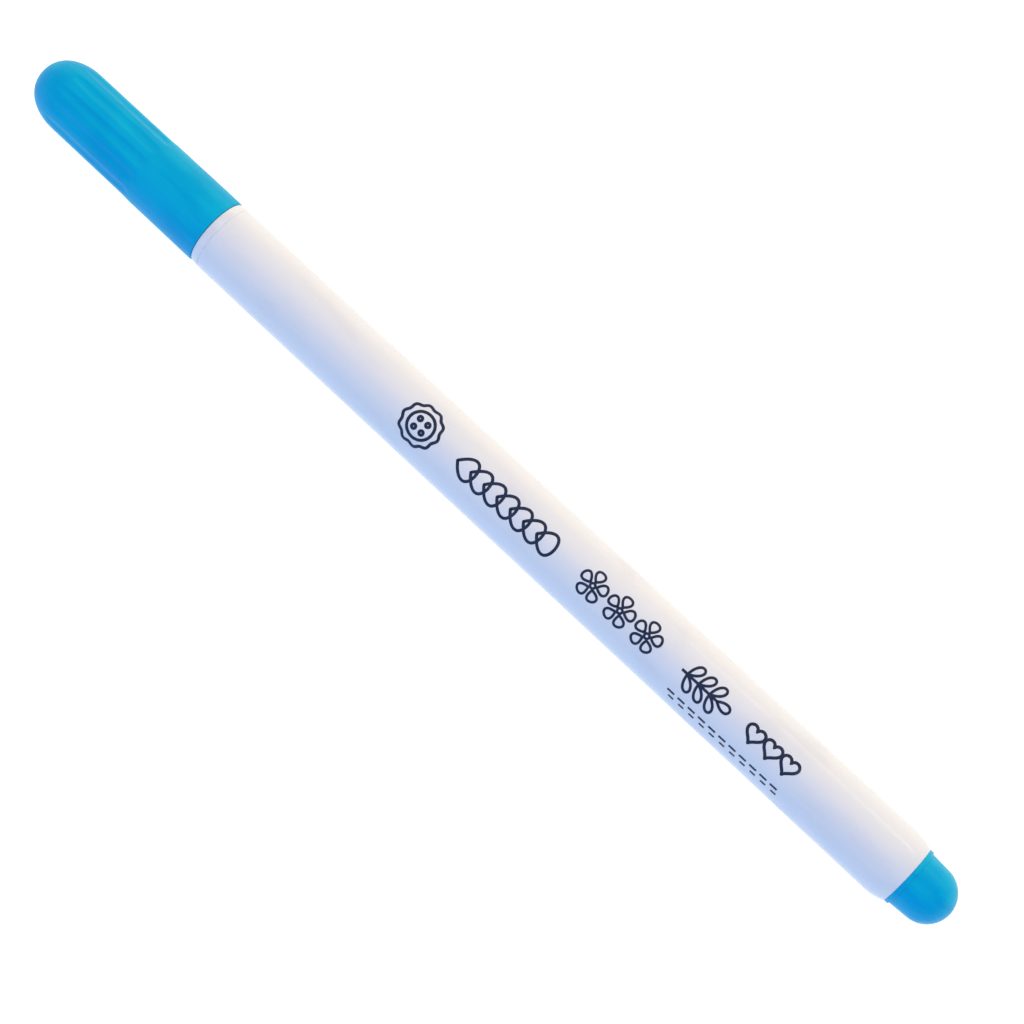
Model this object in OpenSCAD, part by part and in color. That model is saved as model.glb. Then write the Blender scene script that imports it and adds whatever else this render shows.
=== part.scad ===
// Fabric marking pen: a capped fibre-tip pen, lying on its side.
// +X runs from the crown of the cap to the rear plug and +Z is up. The origin is on the
// surface that the pen lies on, under the middle of its length.
// Stations are distances along the pen's axis, measured from the crown of the cap.
// Profiles are lists of [radius, station], turned around the axis.

/* [Overall] */
// Length of the pen with its cap on
overall_len = 138; // [134:1:144]
// Diameter of the barrel
barrel_d = 8.55; // [8.5:0.05:8.9]

/* [Barrel] */
// Diameter of the bore through the barrel
bore_d = 6.5; // [6.4:0.05:6.6]
// Length of the rounded front shoulder, which the collar shares
front_shoulder_len = 2.3; // [1.8:0.1:3]
// Radius that the front shoulder loses at the cap
front_shoulder_drop = 0.16; // [0.1:0.01:0.25]
// Length of the rounded rear shoulder
rear_shoulder_len = 2.4; // [2:0.1:3]
// Radius that the rear shoulder loses at the plug
rear_shoulder_drop = 0.5; // [0.3:0.02:0.5]
// Number of ribs that centre the reservoir in the bore
barrel_ribs = 6; // [3:1:8]

/* [Cap] */
// Length of the cap
cap_len = 27.4; // [26:0.1:29]
// Outer diameter of the cap at its mouth
cap_mouth_d = 8.44; // [8.36:0.02:8.48]
// Outer diameter of the cap where its crown begins
cap_crown_d = 8.3; // [8.2:0.02:8.34]
// Length of the rounded crown
cap_crown_len = 5.8; // [5.2:0.1:6.4]
// Fullness of the crown, where 2 is an ellipse and more is squarer
cap_crown_power = 2.3; // [2:0.1:2.6]
// Number of grip flutes around the cap
cap_flutes = 12; // [8:1:16]
// Depth of a grip flute
flute_depth = 0.12; // [0.05:0.01:0.2]
// Radius of the round cutter that shapes a flute
flute_cutter_r = 2.4; // [1.5:0.1:3]
// Length of the cap that the flutes cover, from its crown
flute_end = 17.8; // [14:0.1:20]

/* [Writing end] */
// Diameter of the nib
nib_d = 1.84; // [1.6:0.02:1.9]
// Length of the nib that stands out of the front section
nib_reach = 3.2; // [2.8:0.1:3.6]
// Diameter of the neck that the cap slides on
neck_d = 6.64; // [6.6:0.01:6.7]
// Length of the neck, from the cone to the collar
neck_len = 11; // [10:0.1:11.5]
// Length of the cone, from the nose to the sealing land
cone_len = 5.2; // [4.8:0.1:5.6]
// Length of the collar between the cap and the barrel
collar_len = 1.1; // [0.8:0.05:1.6]

/* [Ink system] */
// Outer diameter of the film wrap around the reservoir
wrap_d = 5.9; // [5.7:0.05:5.95]
// Free length between the reservoir and the rear plug
reservoir_gap = 2.6; // [2:0.1:20]
// Outer diameter of the breather tube
breather_d = 1; // [0.8:0.05:1.1]

/* [Rear plug] */
// Length of the plug that stands out of the barrel
plug_len = 6.2; // [5.6:0.1:7]
// Diameter of the plug's flange, against the barrel
plug_flange_d = 7.45; // [7.3:0.05:7.5]
// Thickness of the flange
plug_flange_len = 0.55; // [0.4:0.05:0.8]
// Diameter of the plug above its flange
plug_d = 7.08; // [7.0:0.02:7.2]
// Diameter of the plug where its dome begins
plug_dome_d = 6.82; // [6.7:0.02:6.9]

/* [Hidden] */

turn_fn = 96;
arc_steps = 10;
crown_steps = 16;
edge_steps = 4;

barrel_r = barrel_d / 2;
bore_r = bore_d / 2;

// Running and seating gaps, and the small bevel at a seam
cap_rest_gap = 0.05;
slide_gap = 0.08;
seat_gap = 0.01;
seam_bevel = 0.06;

// Front section, from its collar back to its nose
stem_len = 10;
stem_chamfer = 0.4;
neck_round = 0.3;
land_r = 2.35;
land_len = 1.6;
land_gap = 1.5;
nose_r = 1.45;
collar_start = cap_len + cap_rest_gap;
collar_end = collar_start + collar_len;
shoulder_start = collar_start + front_shoulder_len;
stem_end = collar_end + stem_len;
neck_start = collar_start - neck_len;
land_end = neck_start - land_gap;
land_start = land_end - land_len;
nose_at = land_start - cone_len;
neck_r = neck_d / 2;
stem_r = bore_r - seat_gap;

// Inside the front section
section_cavity_r = 2.55;
cavity_cone_len = 1.4;
nib_bore_r = nib_d / 2 + 0.02;
nib_grip_end = neck_start + 0.1;
vent_w = 0.4;
vent_depth = 0.25;
guide_start = neck_start + 7;
guide_len = 7;
guide_w = 0.6;
guides = 4;

// Bead on the neck that holds the cap
snap_at = neck_start + 5.7;
snap_height = 0.04;
snap_half_len = 0.5;

// Cap
cap_mouth_r = cap_mouth_d / 2;
cap_crown_r = cap_crown_d / 2;
cap_rim_round = 0.25;
cap_bore_r = neck_r + slide_gap;
cap_lead_in = 0.3;
cap_wall_at_crown = 1.5;

// Inner seal of the cap, and its seat
seal_seat_r = 3;
seal_r = seal_seat_r - 2 * seat_gap;
seal_wall = 0.53;
seal_lip_len = 0.6;
seal_end = land_start + 1.5;
seal_seat_end = seal_end + 0.3;

// Barrel
barrel_start = collar_end;
barrel_end = overall_len - plug_len;
rear_shoulder_start = barrel_end - rear_shoulder_len;
rib_w = 0.5;
rib_root = 0.3;
rib_top_r = wrap_d / 2 + 0.05;
rib_start = stem_end + 0.6;
rib_end = barrel_end - 9.5;

// Plug
plug_r = plug_d / 2;
plug_flange_r = plug_flange_d / 2;
plug_dome_r = plug_dome_d / 2;
plug_edge_round = 0.1;
plug_stem_len = 7;
plug_stem_start = barrel_end - plug_stem_len;
plug_core_r = 2.2;
plug_core_wall = 1.1;
barbs = 3;
barb_len = 1.1;
barb_pitch = 1.65;
barb_relief = 0.12;
first_barb_at = barrel_end - 1.2;
plug_vent_w = 0.7;
plug_vent_depth = 0.35;
plug_vent_len = 6.4;

// Ink system
wrap_r = wrap_d / 2;
wrap_wall = 0.1;
wrap_overhang = 0.4;
fibre_r = wrap_r - wrap_wall - seat_gap;
reservoir_start = stem_end + 0.8;
reservoir_end = plug_stem_start - reservoir_gap;
nib_r = nib_d / 2;
nib_tip_at = nose_at - nib_reach;
nib_tail = 8;
nib_end = reservoir_start + nib_tail;
nib_tip_r = 0.42;
nib_taper_len = 1.9;
breather_r = breather_d / 2;
breather_wall = 0.2;
breather_offset = fibre_r - breather_r;
breather_start = reservoir_start + 0.5;
breather_end = reservoir_end + 1.4;

// Points of an arc around [cx, cy], from angle a0 to a1
function arc(cx, cy, r, a0, a1, steps = arc_steps) =
    [for (i = [0:steps]) let (a = a0 + (a1 - a0) * i / steps) [cx + r * cos(a), cy + r * sin(a)]];

// Points of a rounded crown that starts on the axis at station 0 and is full at station len
function crown(r, len, power, steps = crown_steps) =
    [for (i = [0:steps]) let (a = 90 * i / steps)
        [r * pow(sin(a), 2 / power), len * (1 - pow(cos(a), 2 / power))]];

// Radius of the arc that leaves a straight side smoothly and loses drop over len
function shoulder_radius(len, drop) = (len * len + drop * drop) / (2 * drop);

// How far such an arc has dropped at a distance d from where it starts
function shoulder_drop(r, d) = r - sqrt(r * r - d * d);

// Radius of the front shoulder at a station
function front_r(s) =
    barrel_r - shoulder_drop(shoulder_radius(front_shoulder_len, front_shoulder_drop), shoulder_start - s);

// Points along the front shoulder between two stations
function front_shoulder(from, to, steps = arc_steps) =
    [for (i = [0:steps]) let (s = from + (to - from) * i / steps) [front_r(s), s]];

// Points along the rear shoulder, up to the barrel's end face
function rear_shoulder(steps = arc_steps) =
    let (r = shoulder_radius(rear_shoulder_len, rear_shoulder_drop))
    [for (i = [0:steps]) let (d = rear_shoulder_len * i / steps)
        [barrel_r - shoulder_drop(r, d), rear_shoulder_start + d]];

// Puts what is made along +Z from the cap's crown onto the pen's axis
module on_axis() {
    translate([-overall_len / 2, 0, barrel_r])
        rotate([0, 90, 0])
            children();
}

// Turns a closed profile around the axis
module lathe(profile) {
    rotate_extrude($fn = turn_fn) polygon(profile);
}

// A round bar on the axis between two stations
module bar(r, from, to) {
    translate([0, 0, from]) cylinder(r = r, h = to - from, $fn = turn_fn);
}

// Repeats its children evenly around the axis
module around(count) {
    for (i = [0:count - 1]) rotate([0, 0, 360 * i / count]) children();
}

module cap_shell() {
    outer = concat(
        crown(cap_crown_r, cap_crown_len, cap_crown_power),
        arc(cap_mouth_r - cap_rim_round, cap_len - cap_rim_round, cap_rim_round, 0, 90)
    );
    inner = concat(
        [
            [cap_bore_r + cap_lead_in, cap_len],
            [cap_bore_r, cap_len - cap_lead_in],
            [cap_bore_r, seal_seat_end + cap_lead_in],
            [seal_seat_r, seal_seat_end]
        ],
        arc(0, cap_wall_at_crown + seal_seat_r, seal_seat_r, 0, -90)
    );
    color("deepskyblue") on_axis() difference() {
        lathe(concat(outer, inner));
        around(cap_flutes)
            translate([cap_crown_r + flute_cutter_r - flute_depth, 0, -1])
                cylinder(r = flute_cutter_r, h = flute_end + 1, $fn = turn_fn);
    }
}

module cap_inner_seal() {
    centre = cap_wall_at_crown + seal_seat_r;
    inside_r = seal_r - seal_wall;
    lip_r = land_r + slide_gap;
    lip_end = seal_end - seal_lip_len / 2;
    color("aliceblue") on_axis() lathe(concat(
        arc(0, centre, seal_r, -90, 0),
        [
            [seal_r, seal_end],
            [inside_r, seal_end],
            [lip_r, lip_end],
            [lip_r, lip_end - seal_lip_len],
            [inside_r, lip_end - 2 * seal_lip_len]
        ],
        arc(0, centre, inside_r, 0, -90)
    ));
}

module barrel() {
    color("white") on_axis() {
        lathe(concat(
            [[front_r(barrel_start) - seam_bevel, barrel_start]],
            front_shoulder(barrel_start + seam_bevel, shoulder_start),
            rear_shoulder(),
            [[bore_r, barrel_end], [bore_r, barrel_start]]
        ));
        around(barrel_ribs)
            translate([rib_top_r, -rib_w / 2, rib_start])
                cube([bore_r + rib_root - rib_top_r, rib_w, rib_end - rib_start]);
    }
}

module front_section() {
    snap_r = neck_r + snap_height;
    outside = concat(
        [
            [nose_r, nose_at],
            [land_r, land_start],
            [land_r, land_end],
            [neck_r - neck_round, neck_start - neck_round],
            [neck_r, neck_start],
            [neck_r, snap_at - snap_half_len],
            [snap_r, snap_at],
            [neck_r, snap_at + snap_half_len],
            [neck_r, collar_start],
            [front_r(collar_start) - seam_bevel, collar_start]
        ],
        front_shoulder(collar_start + seam_bevel, collar_end - seam_bevel, edge_steps),
        [
            [front_r(collar_end) - seam_bevel, collar_end],
            [stem_r, collar_end],
            [stem_r, stem_end - stem_chamfer],
            [stem_r - stem_chamfer, stem_end]
        ]
    );
    inside = [
        [section_cavity_r, stem_end],
        [section_cavity_r, neck_start + cavity_cone_len],
        [nib_bore_r, nib_grip_end],
        [nib_bore_r, nose_at]
    ];
    color("whitesmoke") on_axis() difference() {
        union() {
            lathe(concat(outside, inside));
            around(guides)
                translate([nib_bore_r + seat_gap, -guide_w / 2, guide_start])
                    cube([section_cavity_r + 0.3 - nib_bore_r, guide_w, guide_len]);
        }
        around(2)
            translate([nib_bore_r - 0.1, -vent_w / 2, nose_at - 1])
                cube([vent_depth + 0.1, vent_w, nib_grip_end + 2 - nose_at]);
    }
}

module nib() {
    color("royalblue") on_axis() lathe(concat(
        arc(0, nib_tip_at + nib_tip_r, nib_tip_r, -90, -15, 6),
        [
            [nib_r, nib_tip_at + nib_taper_len],
            [nib_r, nib_end],
            [0, nib_end]
        ]
    ));
}

module ink_reservoir() {
    cut_len = reservoir_end - reservoir_start + 2;
    color("lightskyblue") on_axis() difference() {
        bar(fibre_r, reservoir_start, reservoir_end);
        bar(nib_bore_r, reservoir_start - 1, nib_end + seat_gap);
        translate([-breather_offset, 0, reservoir_start - 1]) {
            cylinder(r = breather_r + seat_gap, h = cut_len, $fn = turn_fn);
            translate([-breather_r - 1, -breather_r * 0.95, 0])
                cube([breather_r + 1, breather_r * 1.9, cut_len]);
        }
    }
}

module reservoir_wrap() {
    color("lightcyan") on_axis() difference() {
        bar(wrap_r, reservoir_start - wrap_overhang, reservoir_end + wrap_overhang);
        bar(wrap_r - wrap_wall, reservoir_start - 1, reservoir_end + 1);
    }
}

module breather_tube() {
    color("ghostwhite") on_axis()
        translate([-breather_offset + seat_gap, 0, 0])
            difference() {
                bar(breather_r - seat_gap, breather_start, breather_end);
                bar(breather_r - breather_wall, breather_start - 1, breather_end + 1);
            }
}

module end_plug() {
    relief_r = stem_r - barb_relief;
    // Each barb drops off square and runs down to the relief, away from the barrel's end face
    barb_profile = [for (i = [0:barbs - 1]) let (s = first_barb_at - i * barb_pitch)
        each [[stem_r, s], [stem_r, s - barb_len / 3], [relief_r, s - barb_len], [relief_r, s - barb_pitch]]];
    flange_end = barrel_end + plug_flange_len;
    outside = concat(
        arc(0, overall_len - plug_dome_r, plug_dome_r, 90, 0, crown_steps),
        [[plug_r, flange_end]],
        arc(plug_flange_r - plug_edge_round, flange_end - plug_edge_round, plug_edge_round, 90, 0, edge_steps),
        arc(plug_flange_r - plug_edge_round, barrel_end + plug_edge_round, plug_edge_round, 0, -90, edge_steps),
        [[relief_r, barrel_end], [relief_r, first_barb_at]],
        barb_profile,
        [[relief_r, plug_stem_start + stem_chamfer], [relief_r - stem_chamfer, plug_stem_start]]
    );
    core = concat(
        [[plug_core_r, plug_stem_start]],
        arc(0, overall_len - plug_core_wall - plug_core_r, plug_core_r, 0, 90)
    );
    color("deepskyblue") on_axis() difference() {
        lathe(concat(outside, core));
        translate([relief_r - plug_vent_depth, -plug_vent_w / 2, plug_stem_start - 1])
            cube([plug_vent_depth + 1, plug_vent_w, plug_vent_len + 1]);
    }
}

cap_shell();
cap_inner_seal();
barrel();
front_section();
nib();
ink_reservoir();
reservoir_wrap();
breather_tube();
end_plug();
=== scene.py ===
"""Looks of a capped fabric marking pen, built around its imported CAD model.

Sizes in the classes are in millimetres. A station is a distance along the pen's axis from the crown
of the cap, and a turn is an angle about that axis, in radians, from straight up towards -Y.
"""
import logging
from dataclasses import dataclass, field
from enum import Enum
from math import cos, pi, radians, sin, sqrt, tan
from typing import Callable, NamedTuple, Sequence

import bmesh
import bpy
from mathutils import Matrix, Vector


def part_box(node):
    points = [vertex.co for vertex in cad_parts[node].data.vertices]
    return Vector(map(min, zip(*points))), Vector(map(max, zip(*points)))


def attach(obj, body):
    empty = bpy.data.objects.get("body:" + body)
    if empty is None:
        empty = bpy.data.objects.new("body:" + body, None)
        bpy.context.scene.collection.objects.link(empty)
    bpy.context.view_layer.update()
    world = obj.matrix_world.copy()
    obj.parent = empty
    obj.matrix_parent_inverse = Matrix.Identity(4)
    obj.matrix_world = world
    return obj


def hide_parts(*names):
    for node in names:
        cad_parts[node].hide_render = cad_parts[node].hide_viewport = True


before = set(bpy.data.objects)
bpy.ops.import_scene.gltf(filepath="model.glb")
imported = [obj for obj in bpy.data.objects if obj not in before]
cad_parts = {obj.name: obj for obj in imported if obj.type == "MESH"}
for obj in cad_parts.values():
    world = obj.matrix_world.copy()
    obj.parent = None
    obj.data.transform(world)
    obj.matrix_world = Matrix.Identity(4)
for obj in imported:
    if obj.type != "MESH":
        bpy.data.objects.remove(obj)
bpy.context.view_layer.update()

log = logging.getLogger("pen")

MM = 0.001
PEN, CAP = "pen", "cap"
ON_AXIS = 1e-4
SHARP_ANGLE = radians(38)

Colour = tuple[float, float, float]
Outline = list[Vector]
Rule = Callable[[float], tuple[float, float]]


def rgba(colour: Colour) -> tuple[float, float, float, float]:
    """A colour with full alpha."""
    return (*colour, 1.0)


# --- Node trees written as expressions ---------------------------------------------------------


class Signal:
    """An output socket on which Python's operators add Math nodes."""

    def __init__(self, graph: "Graph", socket: bpy.types.NodeSocket) -> None:
        """Keeps the socket and the graph that it belongs to."""
        self.graph = graph
        self.socket = socket

    def __add__(self, other: "Signal | float") -> "Signal":
        """Sum."""
        return self.graph.maths("ADD", self, other)

    def __sub__(self, other: "Signal | float") -> "Signal":
        """Difference."""
        return self.graph.maths("SUBTRACT", self, other)

    def __rsub__(self, other: "Signal | float") -> "Signal":
        """Difference, with this signal taken away."""
        return self.graph.maths("SUBTRACT", other, self)

    def __mul__(self, other: "Signal | float") -> "Signal":
        """Product."""
        return self.graph.maths("MULTIPLY", self, other)

    def __truediv__(self, other: "Signal | float") -> "Signal":
        """Quotient."""
        return self.graph.maths("DIVIDE", self, other)

    def __rtruediv__(self, other: "Signal | float") -> "Signal":
        """Quotient, with this signal as the divisor."""
        return self.graph.maths("DIVIDE", other, self)

    def __pow__(self, power: float) -> "Signal":
        """Power."""
        return self.graph.maths("POWER", self, power)

    __radd__ = __add__
    __rmul__ = __mul__


class Outlets:
    """A node's outputs, taken by name or by number."""

    def __init__(self, graph: "Graph", node: bpy.types.Node) -> None:
        """Keeps the node and the graph that it belongs to."""
        self.graph = graph
        self.node = node

    def __getitem__(self, key: str | int) -> Signal:
        """The output of that name or number."""
        return Signal(self.graph, self.node.outputs[key])


class Graph:
    """A shader or geometry tree that is being written."""

    SPACING = 190

    def __init__(self, tree: bpy.types.NodeTree) -> None:
        """Starts on an empty tree."""
        self.tree = tree
        tree.nodes.clear()

    def node(self, kind: str, settings: dict | None = None, inputs: dict | None = None) -> Outlets:
        """Adds a node.

        Args:
            kind: the node's type.
            settings: its properties, set first. "stops" holds a ramp's (position, colour) pairs.
            inputs: a value, a Signal or a list of Signals for each socket, by name or by number.

        Returns:
            The node's outputs.
        """
        made = self.tree.nodes.new(kind)
        made.location.x = self.SPACING * len(self.tree.nodes)
        for name, value in (settings or {}).items():
            if name == "stops":
                self._set_stops(made.color_ramp, value)
            else:
                setattr(made, name, value)
        for key, value in (inputs or {}).items():
            for one in value if isinstance(value, list) else [value]:
                if isinstance(one, Signal):
                    self.tree.links.new(one.socket, made.inputs[key])
                else:
                    made.inputs[key].default_value = one
        return Outlets(self, made)

    @staticmethod
    def _set_stops(ramp: bpy.types.ColorRamp, stops: Sequence[tuple[float, Colour]]) -> None:
        """Gives a ramp its stops."""
        while len(ramp.elements) < len(stops):
            ramp.elements.new(1.0)
        for element, (position, colour) in zip(ramp.elements, stops):
            element.position, element.color = position, rgba(colour)

    def maths(self, operation: str, *values: Signal | float) -> Signal:
        """The result of one Math node."""
        return self.node("ShaderNodeMath", {"operation": operation}, dict(enumerate(values)))[0]

    def parts(self, vector: Signal) -> tuple[Signal, Signal, Signal]:
        """The X, Y and Z of a vector."""
        split = self.node("ShaderNodeSeparateXYZ", None, {"Vector": vector})
        return split["X"], split["Y"], split["Z"]

    def vector(self, x: Signal | float, y: Signal | float, z: Signal | float) -> Signal:
        """A vector from its X, Y and Z."""
        return self.node("ShaderNodeCombineXYZ", None, {"X": x, "Y": y, "Z": z})["Vector"]

    def rise(self, value: Signal, start: Signal | float, end: Signal | float) -> Signal:
        """A smooth step from 0 at start to 1 at end."""
        return self.node(
            "ShaderNodeMapRange",
            {"interpolation_type": "SMOOTHSTEP"},
            {"Value": value, "From Min": start, "From Max": end},
        )["Result"]

    def blend(self, share: Signal, first: Signal | Colour, second: Signal | Colour) -> Signal:
        """A colour that goes from the first to the second as the share goes from 0 to 1."""
        ends = [end if isinstance(end, Signal) else rgba(end) for end in (first, second)]
        mixed = self.node(
            "ShaderNodeMix", {"data_type": "RGBA"}, {0: share, 6: ends[0], 7: ends[1]}
        )
        return mixed[2]

    def noise(self, size: tuple[float, float, float], detail: float = 2.0, shift: float = 0.0) -> Signal:
        """Noise fixed to the piece.

        Args:
            size: the rough length of a blob along X, Y and Z.
            detail: how many finer layers are added.
            shift: moves the pattern, so that two of them differ.

        Returns:
            The noise, from 0 to 1 around a half.
        """
        place = self.node("ShaderNodeTexCoord")["Object"]
        scaled = self.node(
            "ShaderNodeMapping",
            None,
            {
                "Vector": place,
                "Location": (shift, shift, shift),
                "Scale": tuple(1 / (length * MM) for length in size),
            },
        )["Vector"]
        return self.node("ShaderNodeTexNoise", None, {"Vector": scaled, "Scale": 1.0, "Detail": detail})[0]

    def bump(self, height: Signal, depth: float, strength: float = 1.0) -> Signal:
        """A normal that shows a height of that depth."""
        relief = {"Height": height, "Distance": depth * MM, "Strength": strength}
        return self.node("ShaderNodeBump", None, relief)["Normal"]


class Recipe:
    """A Geometry Nodes tree with named inputs that reshapes a mesh."""

    def __init__(self, name: str, inputs: dict[str, str]) -> None:
        """Makes the tree with its sockets.

        Args:
            name: the tree's name.
            inputs: the type of each input, such as Float, by the input's name.
        """
        self.tree = bpy.data.node_groups.new(name, "GeometryNodeTree")
        self.graph = Graph(self.tree)
        face = self.tree.interface
        face.new_socket("Mesh", in_out="OUTPUT", socket_type="NodeSocketGeometry")
        face.new_socket("Mesh", in_out="INPUT", socket_type="NodeSocketGeometry")
        for label, kind in {**inputs, "Material": "Material"}.items():
            face.new_socket(label, in_out="INPUT", socket_type=f"NodeSocket{kind}")
        self.given = self.graph.node("NodeGroupInput")

    def end(self, shape: Signal) -> None:
        """Ends the tree with Realize Instances and Set Material."""
        whole = self.graph.node("GeometryNodeRealizeInstances", None, {0: shape})[0]
        dressed = self.graph.node(
            "GeometryNodeSetMaterial", None, {"Geometry": whole, "Material": self.given["Material"]}
        )
        self.graph.node("NodeGroupOutput", None, {"Mesh": dressed["Geometry"]})

    def run(self, piece: bpy.types.Object, values: dict[str, object]) -> bpy.types.Object:
        """Runs the tree on a piece and keeps the result as a plain mesh.

        Args:
            piece: the object that carries the mesh to reshape.
            values: the value of each input, by name.

        Returns:
            The same object, with the new mesh and no modifier.
        """
        modifier = piece.modifiers.new(self.tree.name, "NODES")
        modifier.node_group = self.tree
        sockets = {
            item.name: item.identifier
            for item in self.tree.interface.items_tree
            if item.in_out == "INPUT"
        }
        for name, value in values.items():
            modifier[sockets[name]] = value
        shaped = piece.evaluated_get(bpy.context.evaluated_depsgraph_get())
        mesh = bpy.data.meshes.new_from_object(shaped)
        piece.modifiers.remove(modifier)
        piece.data = mesh
        return piece


# --- Finishes ------------------------------------------------------------------------------------


@dataclass(frozen=True)
class Finish:
    """A material made by nodes. Each kind of finish says what its surface looks like."""

    name: str

    def surface(self, graph: Graph) -> dict:
        """The inputs of the Principled shader, by name."""
        raise NotImplementedError

    def material(self) -> bpy.types.Material:
        """Makes the material."""
        made = bpy.data.materials.new(self.name)
        made.use_nodes = True
        graph = Graph(made.node_tree)
        shader = graph.node("ShaderNodeBsdfPrincipled", None, self.surface(graph))
        graph.node("ShaderNodeOutputMaterial", None, {"Surface": shader["BSDF"]})
        return made


@dataclass(frozen=True)
class MouldedColour(Finish):
    """Coloured moulded plastic with faint flow streaks and a satin gloss."""

    deep: Colour
    light: Colour
    gloss: float = 0.42

    def surface(self, graph: Graph) -> dict:
        """Streaks along the flow, a slow change of shade, and a fine skin texture."""
        flow = graph.noise((9.0, 0.9, 0.9), detail=3.0)
        cloud = graph.noise((6.0, 4.0, 4.0), detail=1.0, shift=7.3)
        shade = graph.rise(flow * 0.45 + cloud * 0.55, 0.36, 0.64)
        skin = graph.noise((0.12, 0.12, 0.12), detail=3.0, shift=2.1)
        handled = graph.noise((2.4, 1.6, 1.6), detail=4.0, shift=4.7)
        return {
            "Base Color": graph.blend(shade, self.deep, self.light),
            "Roughness": self.gloss + (handled - 0.5) * 0.16,
            "Normal": graph.bump(skin * 0.7 + flow * 0.6, depth=0.004),
            "Specular IOR Level": 0.1,
            "Subsurface Weight": 0.12,
            "Subsurface Radius": (0.2, 0.6, 1.0),
            "Subsurface Scale": 0.6 * MM,
        }


@dataclass(frozen=True)
class GlossyWhite(Finish):
    """White extruded tube, glossy, with faint draw lines along it."""

    colour: Colour
    worn: Colour

    def surface(self, graph: Graph) -> dict:
        """Draw lines, a few rubbed patches and a slightly uneven gloss."""
        draw = graph.noise((38.0, 0.16, 0.16), detail=2.0)
        patches = graph.noise((7.0, 3.0, 3.0), detail=3.0, shift=3.9)
        rubbed = graph.rise(patches, 0.5, 0.75)
        ripple = graph.noise((5.0, 1.8, 1.8), detail=1.0, shift=8.8)
        return {
            "Base Color": graph.blend(rubbed, self.colour, self.worn),
            "Roughness": 0.24 + rubbed * 0.12 + (draw - 0.5) * 0.06,
            "Normal": graph.bump(draw * 0.35 + ripple, depth=0.006),
            "Specular IOR Level": 0.3,
            "Coat Weight": 0.2 - rubbed * 0.1,
            "Coat Roughness": 0.1,
        }


@dataclass(frozen=True)
class MilkyPlastic(Finish):
    """Uncoloured or white moulded plastic that lets a little light in."""

    colour: Colour
    gloss: float = 0.38

    def surface(self, graph: Graph) -> dict:
        """A slow cloud in the colour and a fine skin texture."""
        cloud = graph.noise((3.0, 2.0, 2.0), detail=2.0, shift=1.7)
        skin = graph.noise((0.15, 0.15, 0.15), detail=2.0, shift=5.2)
        darker = tuple(value * 0.93 for value in self.colour)
        return {
            "Base Color": graph.blend(graph.rise(cloud, 0.35, 0.65), darker, self.colour),
            "Roughness": self.gloss + (skin - 0.5) * 0.12,
            "Normal": graph.bump(skin, depth=0.003),
            "Subsurface Weight": 0.15,
            "Subsurface Radius": (0.8, 0.9, 1.0),
            "Subsurface Scale": 0.5 * MM,
        }


@dataclass(frozen=True)
class PrintedInk(Finish):
    """Dark ink printed on the barrel, a little uneven where it lies thin."""

    full: Colour
    thin: Colour

    def surface(self, graph: Graph) -> dict:
        """Pinholes and a slow change in how thick the ink lies."""
        speckle = graph.noise((0.09, 0.09, 0.09), detail=2.0, shift=6.1)
        cover = graph.noise((1.8, 0.9, 0.9), detail=2.0, shift=9.4)
        worn = graph.rise(speckle * 0.5 + cover * 0.5, 0.52, 0.72)
        return {
            "Base Color": graph.blend(worn, self.full, self.thin),
            "Roughness": 0.42 + (speckle - 0.5) * 0.2,
            "Normal": graph.bump(speckle, depth=0.004),
        }


@dataclass(frozen=True)
class BondedFibre(Finish):
    """Bundled fibres along the pen, stained by ink."""

    dry: Colour
    stained: Colour
    strand: float
    sheen: float = 0.2

    def surface(self, graph: Graph) -> dict:
        """Strands along the pen that took up more or less ink."""
        strands = graph.noise((14.0, self.strand, self.strand), detail=2.0)
        soak = graph.noise((3.5, 1.2, 1.2), detail=2.0, shift=2.8)
        ink = graph.rise(strands * 0.6 + soak * 0.4, 0.35, 0.62)
        return {
            "Base Color": graph.blend(ink, self.dry, self.stained),
            "Roughness": 0.78 - ink * 0.2,
            "Normal": graph.bump(strands, depth=self.strand * 0.4),
            "Sheen Weight": self.sheen,
            "Sheen Roughness": 0.5,
        }


@dataclass(frozen=True)
class ClearFilm(Finish):
    """Thin clear film with fine wrinkles along the pen."""

    colour: Colour
    opacity: float

    def surface(self, graph: Graph) -> dict:
        """Wrinkles that catch the light."""
        wrinkles = graph.noise((6.0, 0.5, 0.5), detail=3.0, shift=3.3)
        return {
            "Base Color": rgba(self.colour),
            "Alpha": self.opacity + graph.rise(wrinkles, 0.55, 0.7) * 0.25,
            "Roughness": 0.12 + wrinkles * 0.1,
            "Normal": graph.bump(wrinkles, depth=0.02),
        }


@dataclass(frozen=True)
class StudioWhite(Finish):
    """The floor: pale, and lit up enough to lose most of a shadow."""

    glow: float
    grey: Colour = (0.3, 0.3, 0.3)

    def surface(self, graph: Graph) -> dict:
        """A plain even surface."""
        return {
            "Base Color": rgba(self.grey),
            "Roughness": 0.9,
            "Specular IOR Level": 0.0,
            "Emission Color": rgba((1.0, 1.0, 1.0)),
            "Emission Strength": self.glow,
        }


# --- Shapes turned around the pen's axis ---------------------------------------------------------


class Span(NamedTuple):
    """Where a CAD node begins and ends along the pen, and its largest radius."""

    start: float
    end: float
    radius: float


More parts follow.
